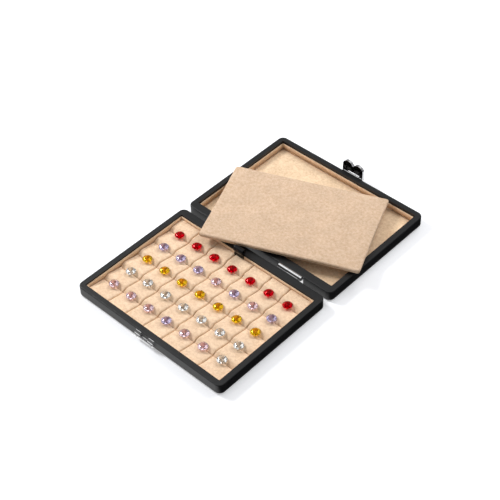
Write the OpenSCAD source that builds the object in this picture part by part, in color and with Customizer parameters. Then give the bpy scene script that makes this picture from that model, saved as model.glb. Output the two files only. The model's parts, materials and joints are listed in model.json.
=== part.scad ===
// Gem and mineral specimen case: a black covered folding case that lies fully open.
// The tray holds faceted stones in five valleys of sloping tiles. The lid is its mirror
// image across the hinge, and a loose pad that covers the stones lies across both.
// The origin is the centre of the tray's underside, +X runs along the long side,
// +Y points to the hinge and the lid, and +Z is up. All sizes are in millimetres.

/* [Case] */
// Length of each half along the hinge
case_l = 161; // [120:1:240]
// Depth of each half across the hinge
case_w = 122.6; // [110:0.1:180]
// Height of each half
half_h = 10.2; // [9:0.1:16]
// Wall on the front and the two ends
wall = 5.2; // [4.2:0.1:8]
// Wall on the hinge side
hinge_wall = 7.7; // [5:0.1:12]
// Gap between the two halves when they lie open
hinge_gap = 5; // [4.6:0.1:7]
// Thickness of the floor
floor_t = 2.2; // [1.6:0.1:3]
// Radius of the outer upright corners
corner_r = 5.4; // [4:0.1:9]
// Radius of the inner upright corners
inner_r = 0.8; // [0.4:0.1:2]
// Rounding along the outer edge of the underside
edge_r = 1.6; // [1:0.1:2]
// Rounding along the outer edge of the rim
rim_r = 0.9; // [0.8:0.1:1.5]
// Thickness of the leatherette cover
cover_t = 0.7; // [0.4:0.1:0.8]
// Gap between the two rims when the case is closed
rim_gap = 0.3; // [0.1:0.05:0.6]

/* [Lining] */
// Thickness of the lining strips
lining_t = 1.1; // [0.8:0.1:1.6]
// How far the tray's lining stays below the rim
tray_lining_drop = 1.3; // [1:0.1:2]
// How far the lid's lining stays below the rim
lid_lining_drop = 2.5; // [2:0.1:3]
// Thickness of the padded panel in the lid
lid_pad_t = 1.1; // [0.8:0.1:1.6]
// Play between an insert and the lining
insert_play = 0.15; // [0.05:0.05:0.3]

/* [Insert] */
// Thickness of the board under the tiles
board_t = 1; // [0.6:0.1:1.2]
// Height of the board's upper face to the bottom of a valley
valley_h = 1; // [0.8:0.1:1.4]
// Height of a crest above the bottom of a valley
crest_h = 2.6; // [2:0.1:3]
// Run of the steep rise from a valley to its crest
rise_run = 4.3; // [3:0.1:5]
// Distance from the tray's inner front to the first valley
first_valley = 17.6; // [12:0.1:20]
// Distance from the last valley to the tray's inner rear
last_ledge = 16.7; // [12:0.1:20]
// How much wider a tile at the end of a row is
end_extra = 3; // [0:0.1:5]
// Width of the crease between two tiles
crease = 0.5; // [0.3:0.1:1]
// Number of stones in a row
columns = 7; // [5:2:9]

/* [Stones] */
// Diameter of a stone at its girdle
stone_d = 8.5; // [6:0.1:9]
// Lean of the stones towards the front, in degrees
stone_lean = 0; // [0:1:15]
// How far a stone's point sits below the valley
stone_sink = 0.4; // [0.2:0.1:0.6]
// Table width as a share of the diameter
table_share = 0.56; // [0.5:0.01:0.65]
// Play between a stone and its seat
seat_play = 0.05; // [0.02:0.01:0.1]

/* [Hinges] */
// Distance of each hinge's centre from the middle
hinge_x = 40; // [30:1:60]
// Length of a hinge
hinge_l = 24.3; // [18:0.1:30]
// Diameter of the barrel
barrel_d = 4; // [3.4:0.1:4.2]
// Diameter of the hinge pin
pin_d = 1.6; // [1.2:0.1:2]
// Radial play of a pin in its bore
pin_play = 0.05; // [0.02:0.01:0.1]
// Thickness of a hinge leaf
leaf_t = 0.6; // [0.4:0.1:0.8]
// Height of a hinge leaf below the barrel's axis
leaf_h = 8; // [6:0.1:8.4]
// Length of the first knuckle
knuckle_a = 10.2; // [6:0.1:12]
// Length of the last knuckle
knuckle_c = 2.5; // [2:0.1:6]
// Gap between two knuckles
knuckle_gap = 0.15; // [0.1:0.05:0.3]
// Diameter of a nail's shank
nail_d = 1; // [0.8:0.1:1.4]
// Length of a nail's shank in the wall
nail_l = 3.6; // [2.5:0.1:4]
// Diameter of a nail's head
nail_head_d = 2; // [1.6:0.1:2.4]

/* [Clasp] */
// Width of the lever
lever_w = 22.4; // [18:0.1:30]
// Thickness of the lever's sheet
lever_t = 0.8; // [0.6:0.1:1]
// Height of the lever's lobes above the rim
lever_reach = 9.8; // [8:0.1:10]
// Depth of the notch between the lobes
notch_h = 3.4; // [1:0.1:4]
// Distance of the lever's rim wall from the case
lever_out = 2.7; // [2.6:0.1:3.4]
// Depth of the hollow in the lever
lever_dish = 1.5; // [0.5:0.1:2]
// Height of the lever's pin above the lid's underside
lever_pin_z = 6.6; // [5.5:0.1:7]
// Diameter of the lever's pin
lever_pin_d = 1.2; // [1:0.1:1.4]
// Thickness of the clasp's and the catch's sheet
plate_t = 0.6; // [0.5:0.1:0.8]
// How far the catch stands out from the tray
catch_out = 2.4; // [1.8:0.1:2.4]
// Width of each ear of the catch
ear_w = 5.8; // [4:0.1:7]
// Play between the catch and the lever's cheeks
cheek_play = 0.3; // [0.2:0.05:0.6]

/* [Finger loop] */
// Width of the leather loop
loop_w = 10; // [8:0.5:14]
// Outer radius of the loop
loop_r = 2.6; // [2:0.1:2.7]
// Thickness of the leather
loop_t = 1.1; // [0.8:0.1:1.3]
// Distance of the loop from the middle of the case
loop_x = -6; // [-6:0.5:12]

/* [Loose pad] */
// Length of the pad
pad_l = 140; // [110:1:144]
// Depth of the pad
pad_w = 94; // [80:1:100]
// Thickness of the pad
pad_t = 4.5; // [3.5:0.1:6]
// Thickness of the pad's inner board
pad_board_t = 2; // [1.5:0.1:2.5]
// Turn of the pad from the case's length, in degrees
pad_turn = 23.5; // [0:0.5:30]
// Sideways place of the pad's centre
pad_x = 2.5; // [0:0.5:5]
// How far the middle of the pad's near edge reaches from the hinge axis towards the tray
pad_overhang = 2.85; // [0:0.05:5]
// Distance from the hinge axis to where the pad lies on the lid's rim
pad_run = 65.8; // [60:0.1:70]
// Clearance under the pad
pad_play = 0.3; // [0.2:0.05:0.5]

/* [Hidden] */

// Steps in a rounded edge and in a finely rounded outline
arc_steps = 5;
$fn = 48;
// Overshoot of a cut beyond the face that it opens
cut = 1;

black = [0.09, 0.09, 0.1];
suede = [0.9, 0.76, 0.63];
pale_suede = [0.95, 0.85, 0.72];
chrome = [0.8, 0.8, 0.82];
wood = [0.62, 0.5, 0.36];

// Colour letter of each stone, rear row first, left to right
stone_plan = ["RRRRRRR", "LLLPLPL", "AAAAAAA", "CCCCCCC", "PPPLPPC"];

// Cavity of a half
inner_l = case_l - 2 * wall;
inner_w = case_w - wall - hinge_wall;
cavity_y = (wall - hinge_wall) / 2;
front_face = -case_w / 2;
rear_face = case_w / 2;
inner_front = front_face + wall;
inner_rear = rear_face - hinge_wall;

// Hinge axis, about which the two halves mirror each other
axis_y = rear_face + hinge_gap / 2;
axis_z = half_h + rim_gap / 2;

// Insert
rows = 5;
row_pitch = (inner_w - first_valley - last_ledge) / (rows - 1);
insert_l = inner_l - 2 * lining_t - 2 * insert_play;
column_pitch = (insert_l - 2 * end_extra) / columns;
insert_front = inner_front + lining_t + insert_play;
insert_rear = inner_rear - lining_t - insert_play;
board_top = floor_t + board_t;
valley_z = board_top + valley_h;
slope = crest_h / (row_pitch - rise_run);
front_z = valley_z + slope * first_valley;

// Stone proportions
girdle_r = stone_d / 2;
table_r = girdle_r * table_share;
crown_h = 0.155 * stone_d;
girdle_h = 0.03 * stone_d;
pavilion_h = 0.43 * stone_d;
crown_mid_r = 0.78 * girdle_r;
pavilion_mid_r = 0.22 * girdle_r;

// Knuckles along the hinge, measured from its left end
knuckle_b = hinge_l - knuckle_a - knuckle_c - 2 * knuckle_gap;
barrel_r = barrel_d / 2;
leaf_top = axis_z - 0.05;
knuckle_room = 0.25;
nail_z = axis_z - leaf_h * 0.72;
nail_step = hinge_l * 0.33;
nail_head_h = 0.45;
nail_play = 0.03;

// Clasp and catch, measured outwards from the front face
lever_top = half_h + lever_reach;
lever_face = lever_out + lever_dish;
lever_pin_u = lever_face - 0.8;
lever_foot = lever_pin_z - 0.6;
lobe_r = lever_w / 4;
knuckle_r = lever_pin_d / 2 + 0.6;
catch_w = lever_w - 2 * lever_t - 2 * cheek_play;
catch_low = half_h * 0.33;
catch_strip_h = 2.8;
ledge_h = 2.2;
ear_top = half_h - rim_r;
clasp_nail_x = 8;
clasp_nail_z = 3.4;
catch_nail_x = catch_w / 2 - 2.1;
catch_nail_z = catch_low + ledge_h / 2;
clasp_nail_d = nail_d * 0.8;
clasp_head_d = 1.4;
base_low = 2;
spring_w = 5;

// Finger loop
loop_root_y = inner_rear - lining_t - insert_play - loop_t;
loop_fold_y = loop_root_y + loop_t / 2;
loop_fold_z = half_h - 0.7;
loop_y = loop_fold_y + 0.6;
loop_z = half_h + 1 + loop_r;
loop_slot_w = loop_w + 0.6;

// Pad
pad_y = pad_w / 2 / cos(pad_turn) - pad_overhang;
pad_rise = axis_z + barrel_r - half_h;
pad_tilt = atan(pad_rise / pad_run);
pad_edge_r = 1.6;
pad_seam = 0.8;

function arc_points(cx, cy, r, from, to, n) =
    [for (i = [0:n]) let (a = from + (to - from) * i / n) [cx + r * cos(a), cy + r * sin(a)]];

function rounded_rect(l, w, r) = concat(
    arc_points(l / 2 - r, w / 2 - r, r, 0, 90, arc_steps),
    arc_points(r - l / 2, w / 2 - r, r, 90, 180, arc_steps),
    arc_points(r - l / 2, r - w / 2, r, 180, 270, arc_steps),
    arc_points(l / 2 - r, r - w / 2, r, 270, 360, arc_steps));

// Section of a side: flat inside, rounded below and above on the outside
module edge_profile(r, h, low_r, top_r) {
    polygon(concat([[0, 0]],
        arc_points(r - low_r, low_r, low_r, -90, 0, arc_steps),
        arc_points(r - top_r, h - top_r, top_r, 0, 90, arc_steps),
        [[0, h]]));
}

// Block with rounded upright corners and rounded lower and upper edges
module rounded_block(l, w, h, r, low_r, top_r) {
    x = l / 2 - r;
    y = w / 2 - r;
    translate([-x, -y, 0]) cube([2 * x, 2 * y, h]);
    for (sx = [-1, 1], sy = [-1, 1])
        translate([sx * x, sy * y, 0])
            rotate_extrude() edge_profile(r, h, low_r, top_r);
    for (side = [0, 1]) {
        mirror([0, side, 0]) translate([-x, y, 0])
            rotate([90, 0, 90]) linear_extrude(2 * x) edge_profile(r, h, low_r, top_r);
        mirror([side, 0, 0]) translate([x, y, 0])
            rotate([90, 0, 0]) linear_extrude(2 * y) edge_profile(r, h, low_r, top_r);
    }
}

// Places what is made for the tray's side on the lid's side
module on_lid() {
    translate([0, 2 * axis_y, 0]) mirror([0, 1, 0]) children();
}

// Puts a hinge at its place: side is -1 on the left and 1 on the right
module at_hinge(side) {
    translate([side * hinge_x - hinge_l / 2, axis_y, axis_z]) children();
}

// Cylinder that lies along X
module rod_x(l, r) {
    rotate([0, 90, 0]) cylinder(h = l, r = r);
}

// Cylinder that lies along Y
module rod_y(l, r) {
    rotate([-90, 0, 0]) cylinder(h = l, r = r);
}

// Nail with its shank along +Y and its head's underside at the origin
module nail(length, shank_d, head_d) {
    rod_y(length, shank_d / 2);
    rotate([90, 0, 0]) cylinder(h = nail_head_h, r1 = head_d / 2, r2 = head_d / 3);
}

// Centres of the hinge nails, two in each leaf
module at_hinge_nails() {
    for (side = [-1, 1], step = [-1, 1])
        translate([side * hinge_x + step * nail_step, 0, nail_z]) children();
}

module hinge_nail_holes() {
    at_hinge_nails()
        translate([0, rear_face - nail_l - nail_play, 0])
            rod_y(nail_l + leaf_t + cut, nail_d / 2 + nail_play);
}

// Holes in the front wall and in a plate that stands out by less than catch_out
module front_nail_holes(x, z) {
    for (side = [-1, 1])
        translate([side * x, front_face - catch_out - cut, z])
            rod_y(nail_l + nail_play + catch_out + cut, clasp_nail_d / 2 + nail_play);
}

// Board frame inside the leatherette, without its nail holes
module core_block() {
    difference() {
        translate([0, 0, cover_t])
            rounded_block(case_l - 2 * cover_t, case_w - 2 * cover_t, half_h - 2 * cover_t,
                          corner_r - cover_t, edge_r - cover_t, max(rim_r - cover_t, 0.1));
        translate([0, cavity_y, floor_t])
            linear_extrude(half_h)
                polygon(rounded_rect(inner_l + 2 * cover_t, inner_w + 2 * cover_t,
                                     inner_r + cover_t));
    }
}

module cavity() {
    translate([0, cavity_y, floor_t])
        linear_extrude(half_h) polygon(rounded_rect(inner_l, inner_w, inner_r));
}

module half_core(nail_x, nail_at) {
    color(wood) difference() {
        core_block();
        hinge_nail_holes();
        front_nail_holes(nail_x, nail_at);
    }
}

module half_cover(nail_x, nail_at) {
    color(black) difference() {
        rounded_block(case_l, case_w, half_h, corner_r, edge_r, rim_r);
        cavity();
        core_block();
        hinge_nail_holes();
        front_nail_holes(nail_x, nail_at);
    }
}

// Ring of lining strips along the inside of the walls
module half_lining(drop) {
    color(suede) translate([0, cavity_y, floor_t]) linear_extrude(half_h - floor_t - drop)
        difference() {
            polygon(rounded_rect(inner_l, inner_w, inner_r));
            square([inner_l - 2 * lining_t, inner_w - 2 * lining_t], center = true);
        }
}

module insert_board() {
    color(suede) translate([-insert_l / 2, insert_front, floor_t])
        cube([insert_l, insert_rear - insert_front, board_t]);
}

function valley_y(i) = inner_front + first_valley + i * row_pitch;
function column_x(j) = (j - (columns - 1) / 2) * column_pitch;

// Left and right edges of the tile in column j, where the end tiles reach the lining
function tile_left(j) = j == 0 ? -insert_l / 2 : column_x(j) - column_pitch / 2 + crease / 2;
function tile_right(j) =
    j == columns - 1 ? insert_l / 2 : column_x(j) + column_pitch / 2 - crease / 2;

// Side view of strip i: a gentle slope down to the next valley behind a steep rise.
// The first strip starts at the front lining and the last one ends in a flat ledge.
function strip_outline(i) =
    let (
        start = i == 0 ? insert_front : valley_y(i - 1),
        end = i == rows ? insert_rear : valley_y(i),
        crest_z = valley_z + crest_h,
        round_run = 1.1
    )
    i == 0
    ? [[start, board_top], [end, board_top], [end, valley_z], [start + round_run, front_z],
       [start, front_z - round_run * 0.6]]
    : i == rows
    ? [[start, board_top], [end, board_top], [end, crest_z], [start + rise_run, crest_z],
       [start + rise_run - round_run, crest_z - 0.5], [start, valley_z]]
    : [[start, board_top], [end, board_top], [end, valley_z],
       [start + rise_run + round_run, crest_z - slope * round_run],
       [start + rise_run, crest_z],
       [start + rise_run - round_run, crest_z - 0.5], [start, valley_z]];

// One stone's place: its point below the bottom of the valley, leaning to the front
module at_stone(i, j) {
    translate([column_x(j), valley_y(i), valley_z - stone_sink])
        rotate([stone_lean, 0, 0]) children();
}

module tile_strip(i) {
    color(suede) difference() {
        for (j = [0:columns - 1])
            translate([tile_left(j), 0, 0]) rotate([90, 0, 90])
                linear_extrude(tile_right(j) - tile_left(j)) polygon(strip_outline(i));
        for (k = [max(i - 1, 0):min(i, rows - 1)], j = [0:columns - 1])
            at_stone(k, j) translate([0, 0, -seat_play * 1.5])
                cylinder(h = pavilion_h, r1 = 0, r2 = girdle_r);
        if (i == rows) loop_slot();
    }
}

// Points of a round brilliant, with its lowest point at the origin
function ring(n, r, z, turn) = [for (k = [0:n - 1]) [r * cos(360 * k / n + turn),
                                                     r * sin(360 * k / n + turn), z]];
girdle_low = pavilion_h;
girdle_top = pavilion_h + girdle_h;
stone_h = girdle_top + crown_h;
half_step = 22.5;
crown_mid_z = girdle_top
    + (girdle_r - crown_mid_r * cos(half_step)) * crown_h / (girdle_r - table_r);
pavilion_mid_z = pavilion_mid_r * cos(half_step) * pavilion_h / girdle_r;

brilliant_points = concat(
    ring(8, table_r, stone_h, 0),
    ring(8, crown_mid_r, crown_mid_z, half_step),
    ring(16, girdle_r, girdle_top, 0),
    ring(16, girdle_r, girdle_low, 0),
    ring(8, pavilion_mid_r, pavilion_mid_z, half_step),
    [[0, 0, 0]]);

// Indices of the rings in the list of points
function on_table(k) = k % 8;
function on_crown(k) = 8 + (k + 8) % 8;
function on_girdle(k) = 16 + (k + 16) % 16;
function on_lower(k) = 32 + (k + 16) % 16;
function on_pavilion(k) = 48 + (k + 8) % 8;
culet = 56;

brilliant_faces = concat(
    [[for (k = [7:-1:0]) on_table(k)]],
    [for (k = [0:7]) [on_table(k), on_table(k + 1), on_crown(k)]],
    [for (k = [0:7]) [on_table(k), on_crown(k), on_girdle(2 * k), on_crown(k - 1)]],
    [for (k = [0:7]) [on_crown(k), on_girdle(2 * k + 1), on_girdle(2 * k)]],
    [for (k = [0:7]) [on_crown(k), on_girdle(2 * k + 2), on_girdle(2 * k + 1)]],
    [for (k = [0:15]) [on_girdle(k), on_girdle(k + 1), on_lower(k + 1), on_lower(k)]],
    [for (k = [0:7]) [on_lower(2 * k), on_lower(2 * k + 1), on_pavilion(k)]],
    [for (k = [0:7]) [on_lower(2 * k + 1), on_lower(2 * k + 2), on_pavilion(k)]],
    [for (k = [0:7]) [on_lower(2 * k), on_pavilion(k), culet, on_pavilion(k - 1)]]);

module brilliant() {
    polyhedron(points = brilliant_points, faces = brilliant_faces, convexity = 2);
}

// All stones of one colour letter, as the plan places them
module stones(letter, tint) {
    color(tint)
        for (i = [0:rows - 1], j = [0:columns - 1])
            if (stone_plan[rows - 1 - i][j % 7] == letter) at_stone(i, j) brilliant();
}

// Catch on the tray's front: a strip with a ledge below and two sloping ears above
module catch_plate() {
    ledge = [[0, 0], [0, ledge_h], [catch_out - 0.3, ledge_h], [catch_out, ledge_h - 0.3],
             [catch_out, 0.3], [catch_out - 0.3, 0]];
    ear = [[0, catch_strip_h - 0.6], [plate_t, catch_strip_h - 0.6],
           [plate_t, ear_top - catch_low - 1.3], [catch_out - 0.2, ear_top - catch_low - 2.4],
           [catch_out - 0.2, ear_top - catch_low - 1.4], [plate_t, ear_top - catch_low],
           [0, ear_top - catch_low]];
    color(chrome) difference() {
        translate([-catch_w / 2, front_face, catch_low]) mirror([0, 1, 0]) {
            cube([catch_w, plate_t, catch_strip_h]);
            rotate([90, 0, 90]) linear_extrude(catch_w) polygon(ledge);
            for (x = [0, catch_w - ear_w])
                translate([x, 0, 0]) rotate([90, 0, 90]) linear_extrude(ear_w) polygon(ear);
        }
        front_nail_holes(catch_nail_x, catch_nail_z);
    }
}

// Nails in the front wall, with their heads on a plate that stands out by out
module front_nails(x, z, out) {
    color(chrome) for (side = [-1, 1])
        translate([side * x, front_face - out, z])
            nail(nail_l + out, clasp_nail_d, clasp_head_d);
}

// Half of a hinge, made for the tray's side. Each entry of knuckles is a start and a length.
module hinge_leaf(side, knuckles, others) {
    color(chrome) difference() {
        at_hinge(side) {
            difference() {
                translate([0, -hinge_gap / 2, -leaf_h]) cube([hinge_l, leaf_t, leaf_h - 0.05]);
                for (k = others)
                    translate([k[0] - knuckle_gap, 0, 0])
                        rod_x(k[1] + 2 * knuckle_gap, barrel_r + knuckle_room);
            }
            for (k = knuckles) translate([k[0], 0, 0]) {
                rod_x(k[1], barrel_r);
                translate([0, -hinge_gap / 2, -barrel_r * 0.6])
                    cube([k[1], hinge_gap / 2 - pin_d / 2, barrel_r * 0.6 - 0.05]);
            }
        }
        at_hinge(side) translate([-cut, 0, 0])
            rod_x(hinge_l + 2 * cut, pin_d / 2 + pin_play);
        hinge_nail_holes();
    }
}

end_knuckles = [[0, knuckle_a], [hinge_l - knuckle_c, knuckle_c]];
middle_knuckle = [[knuckle_a + knuckle_gap, knuckle_b]];

module tray_leaf(side) {
    hinge_leaf(side, middle_knuckle, end_knuckles);
}

module lid_leaf(side) {
    on_lid() hinge_leaf(side, end_knuckles, middle_knuckle);
}

module hinge_pin(side) {
    color(chrome) at_hinge(side) rod_x(hinge_l, pin_d / 2);
}

module hinge_nails() {
    color(chrome) at_hinge_nails()
        translate([0, rear_face + leaf_t, 0]) mirror([0, 1, 0])
            nail(nail_l, nail_d, nail_head_d);
}

// Slot behind the last strip of tiles for the loop's two legs
module loop_slot() {
    translate([loop_x - loop_slot_w / 2, loop_root_y - insert_play, floor_t])
        cube([loop_slot_w, loop_t + 2 * insert_play + cut, half_h]);
}

// Leg of the loop between the lining and the tiles
module finger_loop_root() {
    color(black) translate([loop_x - loop_w / 2, loop_root_y, board_top])
        cube([loop_w, loop_t, loop_fold_z - loop_t / 2 - 0.05 - board_top]);
}

// Leather folded over into a loop that lies back on the rim, on a round fold above its leg
module finger_loop() {
    half_t = loop_t / 2;
    neck_z = loop_fold_z + 1.2;
    color(black) translate([loop_x - loop_w / 2, 0, 0]) rotate([90, 0, 90])
        difference() {
            linear_extrude(loop_w) union() {
                translate([loop_fold_y, loop_fold_z]) circle(half_t);
                translate([loop_y, loop_z]) circle(loop_r);
                polygon([[loop_fold_y - half_t, loop_fold_z], [loop_fold_y + half_t, loop_fold_z],
                         [loop_fold_y + half_t, neck_z],
                         [loop_y + loop_r * 0.55, loop_z - loop_r * 0.6],
                         [loop_y - loop_r * 0.95, loop_z],
                         [loop_fold_y - half_t, neck_z]]);
            }
            translate([loop_y, loop_z, -cut])
                cylinder(h = loop_w + 2 * cut, r = loop_r - loop_t);
        }
}

module finger_loop_stud() {
    color(chrome) translate([loop_x, loop_y, loop_z]) rotate([118, 0, 0])
        translate([0, 0, loop_r]) cylinder(h = 0.4, r1 = 0.9, r2 = 0.6);
}

module lid_padded_panel() {
    color(pale_suede) on_lid()
        translate([-insert_l / 2, insert_front, floor_t])
            cube([insert_l, insert_rear - insert_front, lid_pad_t]);
}

// Places what is measured outwards from the front face on the lid's far face
module on_lid_face() {
    on_lid() translate([0, front_face, 0]) mirror([0, 1, 0]) children();
}

// Shares of the lever's width taken by its own knuckles and by those of the base
inner_knuckle = spring_w / 2 + 0.4;
outer_knuckle = lever_w * 0.27;

module clasp_base() {
    color(chrome) difference() {
        on_lid_face() {
            translate([-catch_w / 2, 0, base_low])
                cube([catch_w, plate_t, lever_pin_z + 2 - base_low]);
            for (side = [0, 1]) mirror([side, 0, 0]) translate([inner_knuckle, 0, 0]) {
                length = outer_knuckle - inner_knuckle;
                translate([0, lever_pin_u, lever_pin_z]) rod_x(length, knuckle_r);
                translate([0, 0, lever_pin_z - knuckle_r * 0.7])
                    cube([length, lever_pin_u, knuckle_r * 1.4]);
            }
        }
        on_lid_face() translate([-lever_w / 2, lever_pin_u, lever_pin_z])
            rod_x(lever_w, lever_pin_d / 2 + pin_play);
        on_lid() front_nail_holes(clasp_nail_x, clasp_nail_z);
    }
}

// Outline of the lever, inset by a distance: two round lobes with a notch between them
module lever_outline(inset) {
    half_w = lever_w / 2 - inset;
    low = lever_foot - (inset > 0 ? cut : 0);
    translate([-half_w, low]) square([2 * half_w, lever_top - lobe_r - low]);
    for (side = [-1, 1])
        translate([side * lobe_r, lever_top - lobe_r]) circle(lobe_r - inset);
    translate([-lobe_r, low]) square([2 * lobe_r, lever_top - notch_h - inset - low]);
}

// Hollow lever: a face with a rim wall round its lobes, a cheek at each side and a window
// at its foot for the base's knuckles and the spring
module clasp_lever() {
    knuckle_x = outer_knuckle + knuckle_gap;
    window_h = lever_pin_z + knuckle_r + 0.3 - lever_foot;
    cheek = [[lever_pin_u, lever_foot - 0.4], [lever_face + lever_t, lever_foot],
             [lever_face + lever_t, lever_top - lobe_r], [lever_out, lever_top - lobe_r],
             [lever_pin_u - 0.9, lever_pin_z + 4], [lever_pin_u - 1, lever_pin_z]];
    color([0.22, 0.22, 0.24]) difference() {
        on_lid_face() {
            difference() {
                translate([0, lever_face + lever_t, 0]) rotate([90, 0, 0])
                    linear_extrude(lever_dish + lever_t) lever_outline(0);
                translate([0, lever_face, 0]) rotate([90, 0, 0])
                    linear_extrude(lever_dish + cut) lever_outline(lever_t);
                translate([-knuckle_x, lever_out, lever_foot - cut])
                    cube([2 * knuckle_x, lever_dish + lever_t + cut, window_h + cut]);
            }
            for (side = [0, 1]) mirror([side, 0, 0]) {
                translate([knuckle_x, lever_pin_u, lever_pin_z])
                    rod_x(lever_w / 2 - knuckle_x, knuckle_r);
                translate([lever_w / 2 - lever_t, 0, 0])
                    rotate([90, 0, 90]) linear_extrude(lever_t) polygon(cheek);
            }
        }
        on_lid_face() translate([-lever_w / 2 - cut, lever_pin_u, lever_pin_z])
            rod_x(lever_w + 2 * cut, lever_pin_d / 2 + pin_play);
    }
}

module clasp_pin() {
    color(chrome) on_lid_face() translate([-lever_w / 2, lever_pin_u, lever_pin_z])
        rod_x(lever_w, lever_pin_d / 2);
}

// Torsion spring round the pin, with one leg on the base and one against the lever
module clasp_spring() {
    wire = 0.35;
    color(chrome) difference() {
        on_lid_face() {
            translate([-spring_w / 2, lever_pin_u, lever_pin_z])
                rod_x(spring_w, lever_pin_d / 2 + 0.15 + wire);
            translate([-spring_w / 2, plate_t + 0.05, lever_pin_z - 3])
                cube([wire, lever_pin_u - plate_t - 0.5, 3]);
            translate([spring_w / 2 - wire, lever_pin_u, lever_pin_z])
                cube([wire, lever_face - lever_pin_u - 0.1, 3.4]);
        }
        on_lid_face() translate([-spring_w, lever_pin_u, lever_pin_z])
            rod_x(2 * spring_w, lever_pin_d / 2 + 0.15);
    }
}

// Puts the pad where it lies: across the left hinge barrel and the lid's side rims
module at_pad() {
    translate([pad_x, axis_y + pad_run, half_h + pad_play])
        rotate([-pad_tilt, 0, 0])
            translate([0, pad_y - pad_run, 0]) rotate([0, 0, pad_turn]) children();
}

module pad_board_block() {
    translate([0, 0, (pad_t - pad_board_t) / 2])
        linear_extrude(pad_board_t)
            square([pad_l - 2 * pad_seam, pad_w - 2 * pad_seam], center = true);
}

module pad_cover() {
    color(suede) at_pad() difference() {
        rounded_block(pad_l, pad_w, pad_t, pad_edge_r + 0.6, pad_edge_r, pad_edge_r);
        pad_board_block();
    }
}

module pad_board() {
    color(wood) at_pad() pad_board_block();
}

half_core(catch_nail_x, catch_nail_z);  // tray_core
half_cover(catch_nail_x, catch_nail_z);  // tray_cover
half_lining(tray_lining_drop);  // tray_lining
insert_board();
tile_strip(0);  // tile_strip_1
tile_strip(1);  // tile_strip_2
tile_strip(2);  // tile_strip_3
tile_strip(3);  // tile_strip_4
tile_strip(4);  // tile_strip_5
tile_strip(5);  // tile_strip_6
stones("R", [0.75, 0.02, 0.05]);  // stones_red
stones("L", [0.72, 0.65, 0.9]);  // stones_lavender
stones("A", [0.95, 0.68, 0.05]);  // stones_amber
stones("C", [0.9, 0.9, 0.88]);  // stones_clear
stones("P", [0.93, 0.75, 0.8]);  // stones_pink
catch_plate();
front_nails(catch_nail_x, catch_nail_z, catch_out);  // catch_nails
tray_leaf(-1);  // hinge_left_tray_leaf
tray_leaf(1);  // hinge_right_tray_leaf
lid_leaf(-1);  // hinge_left_lid_leaf
lid_leaf(1);  // hinge_right_lid_leaf
hinge_pin(-1);  // hinge_left_pin
hinge_pin(1);  // hinge_right_pin
hinge_nails();  // hinge_tray_nails
on_lid() hinge_nails();  // hinge_lid_nails
finger_loop();
finger_loop_root();
finger_loop_stud();
on_lid() half_core(clasp_nail_x, clasp_nail_z);  // lid_core
on_lid() half_cover(clasp_nail_x, clasp_nail_z);  // lid_cover
on_lid() half_lining(lid_lining_drop);  // lid_lining
lid_padded_panel();
clasp_base();
on_lid() front_nails(clasp_nail_x, clasp_nail_z, plate_t);  // clasp_nails
clasp_lever();
clasp_pin();
clasp_spring();
pad_cover();
pad_board();
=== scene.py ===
"""Looks of the open specimen case: covered shells, tiled insert, stones, hardware and pad.

Everything is in metres in the CAD frame: the origin is the centre of the tray's underside,
+X runs along the long side and +Y points to the hinge and the lid.
"""

import json
import math

import bmesh
import bpy
from mathutils import Matrix, Vector, noise

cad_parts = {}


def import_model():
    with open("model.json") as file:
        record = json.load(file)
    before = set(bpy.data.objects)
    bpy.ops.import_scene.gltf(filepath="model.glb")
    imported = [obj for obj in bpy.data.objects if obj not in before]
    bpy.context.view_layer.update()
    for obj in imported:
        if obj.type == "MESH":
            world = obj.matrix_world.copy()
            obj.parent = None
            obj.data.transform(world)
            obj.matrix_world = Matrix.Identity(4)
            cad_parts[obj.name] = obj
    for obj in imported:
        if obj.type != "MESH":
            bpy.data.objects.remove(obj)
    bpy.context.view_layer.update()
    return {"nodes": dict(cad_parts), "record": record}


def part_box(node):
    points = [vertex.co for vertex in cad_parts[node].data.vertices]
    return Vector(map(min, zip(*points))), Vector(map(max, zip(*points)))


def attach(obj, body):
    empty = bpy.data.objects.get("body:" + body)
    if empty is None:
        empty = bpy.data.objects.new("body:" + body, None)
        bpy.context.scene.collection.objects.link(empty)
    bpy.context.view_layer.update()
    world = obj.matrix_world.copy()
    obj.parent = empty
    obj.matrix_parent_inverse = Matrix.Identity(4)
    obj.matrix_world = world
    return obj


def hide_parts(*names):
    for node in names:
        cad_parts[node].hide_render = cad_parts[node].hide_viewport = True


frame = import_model()

MM = 0.001

# Camera, solved from the corners of both halves in the photograph
CAMERA_PLACE = (0.5136, -0.4620, 0.7383)
CAMERA_AZIMUTH = 44.60
CAMERA_ELEVATION = 44.76
CAMERA_ROLL = -2.40
CAMERA_LENS = 89.83
CAMERA_SENSOR = 36.0

# Insert and stones, as the case's drawing gives them
COLUMNS = 7
ROWS = 5
COLUMN_PITCH = 20.3 * MM
CREASE = 0.5 * MM
RISE_RUN = 4.3 * MM
VALLEY_HEIGHT = 1.0 * MM
CREST_SMOOTHING = 0.9 * MM
STONE_SINK = 0.4 * MM
PAVILION_SLOPE = 0.86
STONE_R = 4.25 * MM
STONE_ZONE = STONE_R * 1.2
STONE_GAP = 0.1 * MM
LINING_T = 1.1 * MM

# Loose pad
PAD_L = 140 * MM
PAD_W = 94 * MM
PAD_T = 4.5 * MM
PAD_TURN = math.radians(23.5)
PAD_X = 2.5 * MM
PAD_Y = 48.4 * MM
PAD_RUN = 65.8 * MM
PAD_PLAY = 0.3 * MM
PAD_EDGE = 1.7 * MM
PAD_SEAM_INSET = 2.6 * MM
PAD_SEAM_WIDTH = 0.7 * MM
PAD_SEAM_DEPTH = 0.22 * MM

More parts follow.
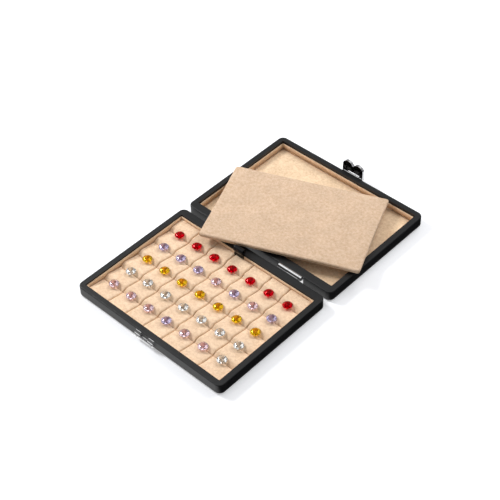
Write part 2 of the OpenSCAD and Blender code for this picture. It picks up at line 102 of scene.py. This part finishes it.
# Cloth passes: pressure, how far each piece may swell, and the held band above an underside
SWELL_PRESSURE = 300
SWELL_FRAMES = 20
TILE_SWELL = 0.2 * MM
PANEL_SWELL = 0.35 * MM
PAD_SWELL = 0.45 * MM
HELD_BAND = 0.05 * MM

# Fold of the finger loop, which turns about it
FOLD_Y = 51.8 * MM
FOLD_Z = 9.5 * MM
FOLD_R = 0.53 * MM
FOLD_NECK = 1.3 * MM

# Painted reflection of the floor as mirrors see it: bright up to FLOOR_FADE_END along X, dark past it
FLOOR_FADE = 400.0
FLOOR_FADE_END = 81 * MM

AXIS_Y = 63.8 * MM
BARREL_WALL = 1.2 * MM
RIM_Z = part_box("tray_cover")[1][2]
BARREL_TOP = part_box("hinge_left_pin")[1][2] + BARREL_WALL
STRIP_BOXES = [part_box(f"tile_strip_{number}") for number in range(1, ROWS + 2)]


# Materials

def new_material(name):
    """An empty node material with its Principled shader."""
    made = bpy.data.materials.new(name)
    made.use_nodes = True
    return made, made.node_tree.nodes, made.node_tree.links, made.node_tree.nodes["Principled BSDF"]


def object_coordinates(nodes):
    return nodes.new("ShaderNodeTexCoord").outputs["Object"]


def noise_node(nodes, links, scale, detail=4, roughness=0.5):
    node = nodes.new("ShaderNodeTexNoise")
    node.inputs["Scale"].default_value = scale
    node.inputs["Detail"].default_value = detail
    node.inputs["Roughness"].default_value = roughness
    links.new(object_coordinates(nodes), node.inputs["Vector"])
    return node.outputs["Fac"]


def voronoi_node(nodes, links, scale):
    node = nodes.new("ShaderNodeTexVoronoi")
    node.inputs["Scale"].default_value = scale
    links.new(object_coordinates(nodes), node.inputs["Vector"])
    return node.outputs["Distance"]


def ramp(nodes, links, value, stops):
    """Colour ramp over a value: stops are (position, colour) pairs."""
    node = nodes.new("ShaderNodeValToRGB")
    links.new(value, node.inputs["Fac"])
    elements = node.color_ramp.elements
    while len(elements) < len(stops):
        elements.new(0.5)
    for element, (position, colour) in zip(elements, stops):
        element.position = position
        element.color = (*colour, 1)
    return node.outputs["Color"]


def math_node(nodes, links, kind, first, second):
    node = nodes.new("ShaderNodeMath")
    node.operation = kind
    for socket, value in zip(node.inputs, (first, second)):
        if isinstance(value, (int, float)):
            socket.default_value = value
        else:
            links.new(value, socket)
    return node.outputs[0]


def multiply_colours(nodes, links, first, second):
    node = nodes.new("ShaderNodeMix")
    node.data_type = "RGBA"
    node.blend_type = "MULTIPLY"
    node.inputs["Factor"].default_value = 1
    links.new(first, node.inputs["A"])
    links.new(second, node.inputs["B"])
    return node.outputs["Result"]


def bump(nodes, links, shader, height, distance, strength=1.0):
    node = nodes.new("ShaderNodeBump")
    node.inputs["Distance"].default_value = distance
    node.inputs["Strength"].default_value = strength
    links.new(height, node.inputs["Height"])
    links.new(node.outputs["Normal"], shader.inputs["Normal"])


def scaled(colour, factor):
    return tuple(min(channel * factor, 1) for channel in colour)


def leatherette():
    """Black coated fabric with a fine pebble grain and slightly greyer high spots."""
    made, nodes, links, shader = new_material("leatherette")
    grain = voronoi_node(nodes, links, 1500)
    fine = noise_node(nodes, links, 2600, 3)
    wear = noise_node(nodes, links, 45, 5, 0.6)
    tint = ramp(nodes, links, wear, [(0.3, (0.005, 0.0052, 0.0056)), (0.75, (0.010, 0.0102, 0.0107))])
    links.new(tint, shader.inputs["Base Color"])
    rough = math_node(nodes, links, "MULTIPLY_ADD", wear, 0.16)
    rough.node.inputs[2].default_value = 0.34
    links.new(rough, shader.inputs["Roughness"])
    shader.inputs["Specular IOR Level"].default_value = 0.42
    height = math_node(nodes, links, "ADD", grain, math_node(nodes, links, "MULTIPLY", fine, 0.5))
    bump(nodes, links, shader, height, 0.06 * MM, 0.55)
    return made


def suede(name, colour, nap=1.0):
    """Short microfibre nap: fine speckle, a soft mottle and broad brushed patches."""
    made, nodes, links, shader = new_material(name)
    patches = noise_node(nodes, links, 60, 3, 0.55)
    mottle = noise_node(nodes, links, 420, 4, 0.65)
    speckle = noise_node(nodes, links, 1500, 4, 0.7)
    broad = ramp(nodes, links, patches, [(0.32, scaled(colour, 0.94)), (0.68, scaled(colour, 1.04))])
    middle = ramp(nodes, links, mottle, [(0.34, (0.84, 0.78, 0.72)), (0.62, (1, 1, 1))])
    fine = ramp(nodes, links, speckle, [(0.34, (0.86, 0.83, 0.80)), (0.6, (1, 1, 1))])
    both = multiply_colours(nodes, links, broad, middle)
    links.new(multiply_colours(nodes, links, both, fine), shader.inputs["Base Color"])
    shader.inputs["Roughness"].default_value = 0.95
    shader.inputs["Specular IOR Level"].default_value = 0.1
    shader.inputs["Sheen Weight"].default_value = 0.1
    shader.inputs["Sheen Roughness"].default_value = 0.5
    height = math_node(nodes, links, "ADD", speckle, math_node(nodes, links, "MULTIPLY", mottle, 1.6))
    bump(nodes, links, shader, height, 0.16 * MM * nap, 0.8)
    return made


def metal(name, colour, rough):
    """Plated metal with a painted reflection: bright on up-facing tops and dark on slanted sides, with
    faint handling marks in its gloss.
    """
    made, nodes, links, shader = new_material(name)
    marks = noise_node(nodes, links, 700, 4, 0.6)
    tint = ramp(nodes, links, marks, [(0.3, scaled(colour, 0.9)), (0.7, colour)])
    # Painted reflection: the base colour follows the normal's height, bright on tops facing up and dark
    # on slanted sides.
    parts = nodes.new("ShaderNodeSeparateXYZ")
    links.new(nodes.new("ShaderNodeTexCoord").outputs["Normal"], parts.inputs[0])
    facing = math_node(nodes, links, "MULTIPLY_ADD", parts.outputs["Z"], 0.5)
    facing.node.inputs[2].default_value = 0.5
    painted_reflection = ramp(nodes, links, facing, [(0.3, (0.8,) * 3), (0.52, (0.8,) * 3), (0.72, (0.1,) * 3),
                                        (0.84, (0.2,) * 3), (0.93, (1.0,) * 3)])
    links.new(multiply_colours(nodes, links, tint, painted_reflection), shader.inputs["Base Color"])
    shader.inputs["Metallic"].default_value = 1
    gloss = math_node(nodes, links, "MULTIPLY_ADD", marks, 0.1)
    gloss.node.inputs[2].default_value = rough
    links.new(gloss, shader.inputs["Roughness"])
    return made


def lever_metal():
    """Bright plated lever whose hollow inner face, turned to -Y, is painted dark as a painted
    reflection.
    """
    made, nodes, links, shader = new_material("lever_metal")
    # Painted reflection: faces turned towards -Y get a near-black base colour, the others bright.
    parts = nodes.new("ShaderNodeSeparateXYZ")
    links.new(nodes.new("ShaderNodeTexCoord").outputs["Normal"], parts.inputs[0])
    facing = math_node(nodes, links, "MULTIPLY_ADD", parts.outputs["Y"], 0.5)
    facing.node.inputs[2].default_value = 0.5
    marks = noise_node(nodes, links, 700, 4, 0.6)
    painted_reflection = ramp(nodes, links, facing, [(0.12, (0.03, 0.028, 0.027)), (0.3, (0.8, 0.8, 0.82))])
    wear = ramp(nodes, links, marks, [(0.3, (0.85, 0.85, 0.85)), (0.7, (1, 1, 1))])
    links.new(multiply_colours(nodes, links, painted_reflection, wear), shader.inputs["Base Color"])
    shader.inputs["Metallic"].default_value = 1
    shader.inputs["Roughness"].default_value = 0.16
    return made


def gem(name, colour, index=1.7):
    """Clear coloured stone with a faint cloud inside."""
    made, nodes, links, shader = new_material(name)
    cloud = noise_node(nodes, links, 420, 2)
    tint = ramp(nodes, links, cloud, [(0.35, scaled(colour, 0.82)), (0.65, colour)])
    links.new(tint, shader.inputs["Base Color"])
    shader.inputs["Transmission Weight"].default_value = 1
    shader.inputs["Specular Tint"].default_value = (*scaled(colour, 1.1), 1)
    shader.inputs["IOR"].default_value = index
    shader.inputs["Roughness"].default_value = 0.01
    return made


def board():
    made, nodes, links, shader = new_material("board")
    fibres = noise_node(nodes, links, 900, 5, 0.7)
    links.new(ramp(nodes, links, fibres, [(0.3, (0.3, 0.2, 0.11)), (0.7, (0.5, 0.37, 0.23))]),
              shader.inputs["Base Color"])
    shader.inputs["Roughness"].default_value = 0.85
    bump(nodes, links, shader, fibres, 0.08 * MM)
    return made


def gloss_leather():
    made, nodes, links, shader = new_material("gloss_leather")
    grain = noise_node(nodes, links, 1100, 3)
    links.new(ramp(nodes, links, grain, [(0.3, (0.001, 0.001, 0.0012)), (0.7, (0.003, 0.003, 0.0036))]),
              shader.inputs["Base Color"])
    shader.inputs["Roughness"].default_value = 0.16
    shader.inputs["Specular IOR Level"].default_value = 0.25
    bump(nodes, links, shader, grain, 0.05 * MM, 0.4)
    return made


LEATHER = leatherette()
TILE = suede("tile_suede", (0.87, 0.66, 0.475))
LINING = suede("lining_suede", (0.90, 0.66, 0.45))
PANEL = suede("panel_suede", (0.88, 0.68, 0.475))
PAD = suede("pad_suede", (0.69, 0.52, 0.38), 1.3)
CHROME = metal("chrome", (0.92, 0.92, 0.93), 0.08)
LEVER = lever_metal()
BOARD = board()
LOOP_LEATHER = gloss_leather()

NODE_MATERIALS = {
    "leatherette": LEATHER, "board": BOARD, "suede": LINING, "pale_suede": PANEL,
    "pad_suede": PAD, "chrome": CHROME, "dark_chrome": LEVER,
    "black_leather": LOOP_LEATHER,
    "red_stone": gem("red_stone", (0.70, 0.0, 0.006)),
    "lavender_stone": gem("lavender_stone", (0.64, 0.53, 0.78)),
    "amber_stone": gem("amber_stone", (0.96, 0.52, 0.01)),
    "clear_stone": gem("clear_stone", (0.95, 0.94, 0.91)),
    "pink_stone": gem("pink_stone", (0.90, 0.65, 0.73)),
}


def dress_cad_nodes():
    """Gives every CAD node the material of its slot in the record."""
    for part in frame["record"]["subparts"]:
        node = frame["nodes"][part["node"]]
        node.data.materials.clear()
        node.data.materials.append(NODE_MATERIALS[part["material_slot"]])


# Mesh helpers

def shade_smooth(mesh):
    for face in mesh.polygons:
        face.use_smooth = True


def evaluated_mesh(piece):
    """A new mesh of the piece with its modifiers applied."""
    return bpy.data.meshes.new_from_object(piece.evaluated_get(bpy.context.evaluated_depsgraph_get()))


def add_object(name, mesh_builder, material):
    """Makes a smoothly shaded mesh object from a bmesh."""
    mesh = bpy.data.meshes.new(name)
    bmesh.ops.recalc_face_normals(mesh_builder, faces=mesh_builder.faces)
    mesh_builder.to_mesh(mesh)
    mesh_builder.free()
    made = bpy.data.objects.new(name, mesh)
    bpy.context.scene.collection.objects.link(made)
    mesh.materials.append(material)
    shade_smooth(mesh)
    return made


def closed_grid(builder, xs, ys, top, base):
    """Adds a closed block whose top is the height field top(x, y) over xs by ys."""
    rows = [[builder.verts.new((x, y, top(x, y))) for x in xs] for y in ys]
    for lower, upper in zip(rows, rows[1:]):
        for a, b, c, d in zip(lower, lower[1:], upper[1:], upper):
            builder.faces.new((a, b, c, d))
    edge = rows[0] + [row[-1] for row in rows[1:]] + rows[-1][-2::-1]
    edge += [row[0] for row in rows[-2:0:-1]]
    foot = [builder.verts.new((v.co.x, v.co.y, base)) for v in edge]
    for k, vert in enumerate(edge):
        after = (k + 1) % len(edge)
        builder.faces.new((vert, foot[k], foot[after], edge[after]))
    builder.faces.new(foot)


def spaced(start, end, count, crowd=0.0):
    """Evenly spaced values that can crowd towards both ends."""
    values = []
    for k in range(count + 1):
        t = k / count
        t = (1 - crowd) * t + crowd * (0.5 - 0.5 * math.cos(math.pi * t))
        values.append(start + (end - start) * t)
    return values


def roll_off(distance, radius):
    """How far a rounded edge has dropped at a distance from the edge."""
    if distance >= radius:
        return 0.0
    gap = radius - max(distance, 0.0)
    return radius - math.sqrt(max(radius * radius - gap * gap, 0.0))


def swell(piece, reach, base):
    """Cloth under inner pressure: points near the base are held, and no point moves past reach."""
    group = piece.vertex_groups.new(name="held")
    held = [v.index for v in piece.data.vertices if v.co.z < base + HELD_BAND]
    group.add(held, 1.0, "REPLACE")
    modifier = piece.modifiers.new("cloth", "CLOTH")
    cloth = modifier.settings
    cloth.quality = 3
    cloth.mass = 0.05
    cloth.use_pressure = True
    cloth.uniform_pressure_force = SWELL_PRESSURE
    cloth.effector_weights.gravity = 0
    cloth.vertex_group_mass = "held"
    modifier.collision_settings.use_collision = False
    for frame_number in range(1, SWELL_FRAMES + 1):
        bpy.context.scene.frame_set(frame_number)
    settled = piece.evaluated_get(bpy.context.evaluated_depsgraph_get()).data
    moves = [after.co - before.co for after, before in zip(settled.vertices, piece.data.vertices)]
    piece.modifiers.remove(modifier)
    piece.vertex_groups.remove(group)
    bpy.context.scene.frame_set(1)
    largest = max(move.length for move in moves)
    share = min(1.0, reach / largest) if largest else 0.0
    for vertex, move in zip(piece.data.vertices, moves):
        vertex.co += move * share


def subdivide(piece):
    """Applies one level of subdivision and keeps smooth shading."""
    modifier = piece.modifiers.new("smooth", "SUBSURF")
    modifier.levels = 1
    made = evaluated_mesh(piece)
    piece.modifiers.remove(modifier)
    piece.data = made
    shade_smooth(made)


# Insert tiles

def column_x(j):
    return (j - (COLUMNS - 1) / 2) * COLUMN_PITCH


def strip_heights(i):
    """Corners of a strip's CAD box, and the heights of its valleys and crests."""
    low, high = STRIP_BOXES[i]
    valley = STRIP_BOXES[1][0][2] + VALLEY_HEIGHT
    crest = STRIP_BOXES[1][1][2]
    return low, high, valley, crest


def tile_profile(i, low, high, valley, crest):
    """Side view of strip i as a function of y: steep rise, round crest, gentle slope."""
    front = high[2] if i == 0 else None

    def height(y):
        if i == 0:
            share = (y - low[1]) / (high[1] - low[1])
            return front + (valley - front) * share
        run = y - low[1]
        crest_y = RISE_RUN
        if i == ROWS:
            return min(valley + (crest - valley) * run / crest_y, crest)
        fall = (crest - valley) / (high[1] - low[1] - crest_y)
        rising = valley + (crest - valley) * run / crest_y
        falling = crest - fall * (run - crest_y)
        return min(rising, falling)

    def rounded(y):
        """Smooths the crest by averaging over a short stretch."""
        steps = [CREST_SMOOTHING * s / 3 for s in range(-3, 4)]
        samples = [height(min(max(y + step, low[1]), high[1])) for step in steps]
        return sum(samples) / len(samples)

    return rounded


def stone_clearance(x, y, valley):
    """Height of the nearest stone's underside above a point, so that tiles stay below it."""
    lowest = 1.0
    for k in range(ROWS):
        stone_y = STRIP_BOXES[k][1][1]
        if abs(y - stone_y) > STONE_ZONE:
            continue
        for j in range(COLUMNS):
            reach = math.hypot(x - column_x(j), y - stone_y)
            if reach < STONE_ZONE:
                cone = valley - STONE_SINK + reach * PAVILION_SLOPE * 0.96
                lowest = min(lowest, cone - STONE_GAP)
    return lowest


def tile_strip(i):
    """Strip of seven padded tiles with soft, uneven faces and creases between them."""
    low, high, valley, crest = strip_heights(i)
    profile = tile_profile(i, low, high, valley, crest)
    builder = bmesh.new()
    for j in range(COLUMNS):
        left = low[0] if j == 0 else column_x(j) - COLUMN_PITCH / 2 + CREASE / 2
        right = high[0] if j == COLUMNS - 1 else column_x(j) + COLUMN_PITCH / 2 - CREASE / 2
        seed = Vector((i * 3.1, j * 1.7, 0.5))

        def top(x, y):
            side = min(x - left, right - x)
            end = min(y - low[1], high[1] - y)
            z = profile(y)
            z -= roll_off(side, 1.5 * MM) * 0.75 + roll_off(end, 0.8 * MM) * 0.5
            z += 0.10 * MM * noise.noise(Vector((x * 160, y * 160, 0)) + seed)
            z += 0.05 * MM * noise.noise(Vector((x * 420, y * 420, 3)) + seed)
            return max(min(z, stone_clearance(x, y, valley)), low[2] + 0.2 * MM)

        xs = spaced(left, right, 26, 0.5)
        ys = spaced(low[1] + 0.05 * MM, high[1] - 0.05 * MM, 22, 0.35)
        closed_grid(builder, xs, ys, top, low[2])
    strip = add_object(f"padded_tiles_{i + 1}", builder, TILE)
    swell(strip, TILE_SWELL, low[2])
    for vertex in strip.data.vertices:
        x = min(max(vertex.co.x, low[0]), high[0])
        y = min(max(vertex.co.y, low[1]), high[1])
        z = max(min(vertex.co.z, stone_clearance(x, y, valley), high[2]), low[2])
        vertex.co = (x, y, z)
    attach(strip, "tray")
    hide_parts(f"tile_strip_{i + 1}")


# Lining strips

def lining_ring(name, node, body):
    """Fabric-wrapped strips along the walls, with a round top and a slight waviness."""
    low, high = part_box(node)
    steps = 40
    corner = [(0, 0), (1, 0), (1, 1), (0, 1)]
    bead = LINING_T / 2
    section = [(0, low[2]), (0, high[2] - bead)]
    for k in range(1, 6):
        angle = math.pi * (1 - k / 6)
        section.append((bead + bead * math.cos(angle), high[2] - bead + bead * math.sin(angle)))
    section += [(LINING_T, high[2] - bead), (LINING_T, low[2])]
    builder = bmesh.new()
    loops = []
    for inset, z in section:
        loop = []
        for side in range(4):
            here, there = corner[side], corner[(side + 1) % 4]
            for k in range(steps):
                t = k / steps
                u = here[0] + (there[0] - here[0]) * t
                v = here[1] + (there[1] - here[1]) * t
                x = low[0] + inset + u * (high[0] - low[0] - 2 * inset)
                y = low[1] + inset + v * (high[1] - low[1] - 2 * inset)
                share = 1.0 if inset > 0 else 0.0
                wave = share * 0.12 * MM * noise.noise(Vector((x * 60, y * 60, z * 90)))
                if side % 2 == 0:
                    inward = Vector((0, math.copysign(1, (low[1] + high[1]) / 2 - y), 0))
                else:
                    inward = Vector((math.copysign(1, (low[0] + high[0]) / 2 - x), 0, 0))
                place = Vector((x, y, z)) + inward * (wave if k else 0)
                loop.append(builder.verts.new(place))
        loops.append(loop)
    count = len(loops[0])
    for lower, upper in zip(loops, loops[1:] + loops[:1]):
        for k in range(count):
            after = (k + 1) % count
            builder.faces.new((lower[k], lower[after], upper[after], upper[k]))
    ring = add_object(name, builder, LINING)
    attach(ring, body)
    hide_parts(node)


def lid_panel():
    """Padded panel in the lid: crowned by the cloth pass, with soft edges and an uneven face."""
    low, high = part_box("lid_padded_panel")
    builder = bmesh.new()

    def top(x, y):
        side = min(x - low[0], high[0] - x, y - low[1], high[1] - y)
        return high[2] - roll_off(side, 0.9 * MM) * 0.9 - PANEL_SWELL * 0.7

    closed_grid(builder, spaced(low[0], high[0], 60, 0.1), spaced(low[1], high[1], 44, 0.1),
                top, low[2])
    panel = add_object("padded_lid_panel", builder, PANEL)
    swell(panel, PANEL_SWELL, low[2])
    for vertex in panel.data.vertices:
        x, y, z = vertex.co
        if z > low[2] + HELD_BAND:
            vertex.co.z = min(z + 0.06 * MM * noise.noise(Vector((x * 45, y * 45, 7))), high[2])
    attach(panel, "lid")
    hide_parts("lid_padded_panel")


# Loose pad

def pad_matrix():
    """Place of the pad: on the left hinge barrel and on the lid's side rims."""
    tilt = -math.atan2(BARREL_TOP - RIM_Z, PAD_RUN)
    stand = Matrix.Translation((PAD_X, AXIS_Y + PAD_RUN, RIM_Z + PAD_PLAY))
    lean = Matrix.Rotation(tilt, 4, "X")
    slide = Matrix.Translation((0, PAD_Y - PAD_RUN, 0))
    return stand @ lean @ slide @ Matrix.Rotation(PAD_TURN, 4, "Z")


def loose_pad():
    """Suede-wrapped board: slightly crowned face, a groove along its sides and a seam line."""
    side = [(0.45, 0.97), (0.8, 0.88), (1, 0.74), (0.97, 0.6), (0.9, 0.53), (0.1, 0.49),
            (0.1, 0.45), (0.66, 0.4), (0.74, 0.3), (0.7, 0.13), (0.4, 0.03)]
    builder = bmesh.new()

    xs = spaced(PAD_EDGE - PAD_L / 2, PAD_L / 2 - PAD_EDGE, 66, 0.15)
    ys = spaced(PAD_EDGE - PAD_W / 2, PAD_W / 2 - PAD_EDGE, 44, 0.15)

    def face_rows(z):
        return [[builder.verts.new((x, y, z)) for x in xs] for y in ys]

    def outline(rows):
        edge_loop = rows[0] + [row[-1] for row in rows[1:]] + rows[-1][-2::-1]
        return edge_loop + [row[0] for row in rows[-2:0:-1]]

    def fill(rows, flip):
        for lower, upper in zip(rows, rows[1:]):
            for a, b, c, d in zip(lower, lower[1:], upper[1:], upper):
                builder.faces.new((d, c, b, a) if flip else (a, b, c, d))

    top_rows = face_rows(PAD_T)
    bottom_rows = face_rows(0)
    fill(top_rows, False)
    fill(bottom_rows, True)
    loops = [outline(top_rows)]
    for out_share, z_share in side:
        out = PAD_EDGE * out_share
        z = PAD_T * z_share
        loop = []
        for vert in loops[0]:
            x, y = vert.co.x, vert.co.y
            push = Vector((0, 0, 0))
            if abs(abs(x) - (PAD_L / 2 - PAD_EDGE)) < 1e-6:
                push.x = math.copysign(1, x)
            if abs(abs(y) - (PAD_W / 2 - PAD_EDGE)) < 1e-6:
                push.y = math.copysign(1, y)
            place = Vector((x, y, z)) + push.normalized() * out
            loop.append(builder.verts.new(place))
        loops.append(loop)
    loops.append(outline(bottom_rows))
    count = len(loops[0])
    for upper, lower in zip(loops, loops[1:]):
        for k in range(count):
            after = (k + 1) % count
            builder.faces.new((upper[k], lower[k], lower[after], upper[after]))
    for vert in builder.verts:
        x, y, z = vert.co
        pull_x = 0.5 * MM * (1 - (2 * y / PAD_W) ** 2) * (2 * x / PAD_L) ** 3
        pull_y = 0.4 * MM * (1 - (2 * x / PAD_L) ** 2) * (2 * y / PAD_W) ** 3
        vert.co = Vector((x - pull_x, y - pull_y, z * 0.93))
    pad = add_object("suede_pad", builder, PAD)
    swell(pad, PAD_SWELL, 0)
    subdivide(pad)
    for vertex in pad.data.vertices:
        x, y, z = vertex.co
        if z > 0.8 * PAD_T:
            from_edge = min(PAD_L / 2 - abs(x), PAD_W / 2 - abs(y))
            seam = PAD_SEAM_DEPTH * math.exp(-((from_edge - PAD_SEAM_INSET) / PAD_SEAM_WIDTH) ** 2)
            vertex.co.z -= seam + 0.05 * MM * noise.noise(Vector((x * 35, y * 35, 2)))
    pad.data.transform(pad_matrix())
    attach(pad, "pad")
    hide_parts("pad_cover")


# Finger loop

def leather_loop():
    """Finger loop as folded leather: the drawing's loop, softened and slightly fuller."""
    source = frame["nodes"]["finger_loop"]
    loop = bpy.data.objects.new("leather_finger_loop", source.data.copy())
    loop.data.transform(source.matrix_world)
    bpy.context.scene.collection.objects.link(loop)
    remesh = loop.modifiers.new("remesh", "REMESH")
    remesh.mode = "VOXEL"
    remesh.voxel_size = 0.3 * MM
    smooth = loop.modifiers.new("smooth", "SMOOTH")
    smooth.iterations = 6
    full = loop.modifiers.new("full", "DISPLACE")
    full.strength = 0.2 * MM
    full.mid_level = 0
    made = evaluated_mesh(loop)
    loop.modifiers.clear()
    loop.data = made
    for vertex in made.vertices:
        crease = 0.12 * MM * noise.noise(vertex.co * 350)
        vertex.co += Vector((0, 0, crease))
        off = Vector((0, vertex.co.y - FOLD_Y, vertex.co.z - FOLD_Z))
        if off.z < 0 and off.length > FOLD_R:
            off *= FOLD_R / off.length
        elif off.z < FOLD_NECK:
            off.y = max(-FOLD_R, min(FOLD_R, off.y))
        vertex.co.y, vertex.co.z = FOLD_Y + off.y, FOLD_Z + off.z
    shade_smooth(made)
    made.materials.clear()
    made.materials.append(LOOP_LEATHER)
    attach(loop, "loop")
    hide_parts("finger_loop")


# Stage

def camera():
    """Camera at the photograph's place, turned by its azimuth, elevation and roll."""
    azimuth, elevation, roll = map(math.radians, (CAMERA_AZIMUTH, CAMERA_ELEVATION, CAMERA_ROLL))
    back = Vector((math.sin(azimuth) * math.cos(elevation),
                   -math.cos(azimuth) * math.cos(elevation), math.sin(elevation)))
    level = Vector((math.cos(azimuth), math.sin(azimuth), 0))
    up = back.cross(level)
    right = level * math.cos(roll) + up * math.sin(roll)
    up = back.cross(right)
    data = bpy.data.cameras.new("camera")
    data.lens = CAMERA_LENS
    data.sensor_width = CAMERA_SENSOR
    data.clip_end = 20
    made = bpy.data.objects.new("camera", data)
    turn = Matrix((right, up, back)).transposed().to_4x4()
    made.matrix_world = Matrix.Translation(CAMERA_PLACE) @ turn
    bpy.context.scene.collection.objects.link(made)
    bpy.context.scene.camera = made


def area_light(name, place, aim, size, power, mirrored=True):
    data = bpy.data.lights.new(name, "AREA")
    data.shape = "RECTANGLE"
    data.size, data.size_y = size
    data.energy = power
    made = bpy.data.objects.new(name, data)
    away = (Vector(place) - Vector(aim)).normalized()
    made.matrix_world = Matrix.Translation(place) @ away.to_track_quat("Z", "Y").to_matrix().to_4x4()
    made.visible_glossy = mirrored
    bpy.context.scene.collection.objects.link(made)


def ray_kind(nodes, kind):
    return nodes.new("ShaderNodeLightPath").outputs[kind]


def blend_values(nodes, links, share, low, high):
    """low where share is 0 and high where it is 1."""
    node = nodes.new("ShaderNodeMix")
    links.new(share, node.inputs["Factor"])
    for socket, value in (("A", low), ("B", high)):
        if isinstance(value, (int, float)):
            node.inputs[socket].default_value = value
        else:
            links.new(value, node.inputs[socket])
    return node.outputs["Result"]


def world():
    """White backdrop; mirrors see a dim studio that is bright overhead, stones see patches."""
    made = bpy.data.worlds.new("studio")
    bpy.context.scene.world = made
    made.use_nodes = True
    nodes, links = made.node_tree.nodes, made.node_tree.links
    background = nodes["Background"]
    background.inputs["Color"].default_value = (1, 1, 1, 1)
    direction = nodes.new("ShaderNodeTexCoord").outputs["Generated"]
    parts = nodes.new("ShaderNodeSeparateXYZ")
    links.new(direction, parts.inputs[0])
    sky = ramp(nodes, links, parts.outputs["Z"],
               [(0.1, (0.12,) * 3), (0.42, (0.5,) * 3), (0.55, (0.12,) * 3), (0.66, (0.4,) * 3),
                (0.85, (1.0,) * 3)])
    patches = nodes.new("ShaderNodeTexNoise")
    patches.inputs["Scale"].default_value = 5
    links.new(direction, patches.inputs["Vector"])
    sparkle = ramp(nodes, links, patches.outputs["Fac"], [(0.49, (0.01,) * 3), (0.57, (1.0,) * 3)])
    sparkle = math_node(nodes, links, "MULTIPLY", sparkle, 1.8)
    around = blend_values(nodes, links, ray_kind(nodes, "Is Glossy Ray"), 0.46, sky)
    around = blend_values(nodes, links, ray_kind(nodes, "Is Transmission Ray"), around, sparkle)
    level = blend_values(nodes, links, ray_kind(nodes, "Is Camera Ray"), around, 1.0)
    links.new(level, background.inputs["Strength"])


def floor():
    """Pale floor that shows white to the camera and keeps the case's soft shadow; mirrors see a painted
    reflection of it, dark past FLOOR_FADE_END along X.
    """
    builder = bmesh.new()
    bmesh.ops.create_grid(builder, x_segments=1, y_segments=1, size=3)
    made, nodes, links, shader = new_material("floor")
    shader.inputs["Base Color"].default_value = (0.85, 0.86, 0.89, 1)
    shader.inputs["Roughness"].default_value = 0.9
    glow = nodes.new("ShaderNodeEmission")
    glow.inputs["Color"].default_value = (1, 1, 1, 1)
    place = nodes.new("ShaderNodeNewGeometry").outputs["Position"]
    distance = nodes.new("ShaderNodeVectorMath")
    distance.operation = "LENGTH"
    links.new(place, distance.inputs[0])
    away = math_node(nodes, links, "MULTIPLY_ADD", distance.outputs["Value"], 0.9)
    away.node.inputs[2].default_value = -0.3
    away.node.use_clamp = True
    level = blend_values(nodes, links, away, 0.25, 0.8)
    links.new(math_node(nodes, links, "MULTIPLY", ray_kind(nodes, "Is Camera Ray"), level),
              glow.inputs["Strength"])
    both = nodes.new("ShaderNodeAddShader")
    links.new(shader.outputs[0], both.inputs[0])
    links.new(glow.outputs[0], both.inputs[1])
    # Painted reflection: glossy rays see the floor glow bright up to FLOOR_FADE_END along X and nearly
    # black past it, so the case's right faces reflect dark.
    parts = nodes.new("ShaderNodeSeparateXYZ")
    links.new(place, parts.inputs[0])
    across = math_node(nodes, links, "MULTIPLY_ADD", parts.outputs["X"], -FLOOR_FADE)
    across.node.inputs[2].default_value = FLOOR_FADE * FLOOR_FADE_END
    across.node.use_clamp = True
    painted_floor_reflection = nodes.new("ShaderNodeEmission")
    links.new(blend_values(nodes, links, across, 0.02, 1.1), painted_floor_reflection.inputs["Strength"])
    choice = nodes.new("ShaderNodeMixShader")
    links.new(ray_kind(nodes, "Is Glossy Ray"), choice.inputs["Fac"])
    links.new(both.outputs[0], choice.inputs[1])
    links.new(painted_floor_reflection.outputs[0], choice.inputs[2])
    links.new(choice.outputs[0], nodes["Material Output"].inputs["Surface"])
    plane = add_object("floor", builder, made)
    plane.location.z = -0.05 * MM


bpy.context.scene.view_settings.view_transform = "Standard"
camera()
world()
floor()
area_light("key", (-0.85, -0.12, 0.75), (0, 0.05, 0), (0.25, 0.25), 9.5)
area_light("back", (0.1, 1.05, 0.9), (0, 0.05, 0), (1.2, 0.7), 11, mirrored=False)

dress_cad_nodes()
for strip_index in range(ROWS + 1):
    tile_strip(strip_index)
lining_ring("tray_lining_strips", "tray_lining", "tray")
lining_ring("lid_lining_strips", "lid_lining", "lid")
lid_panel()
loose_pad()
leather_loop()
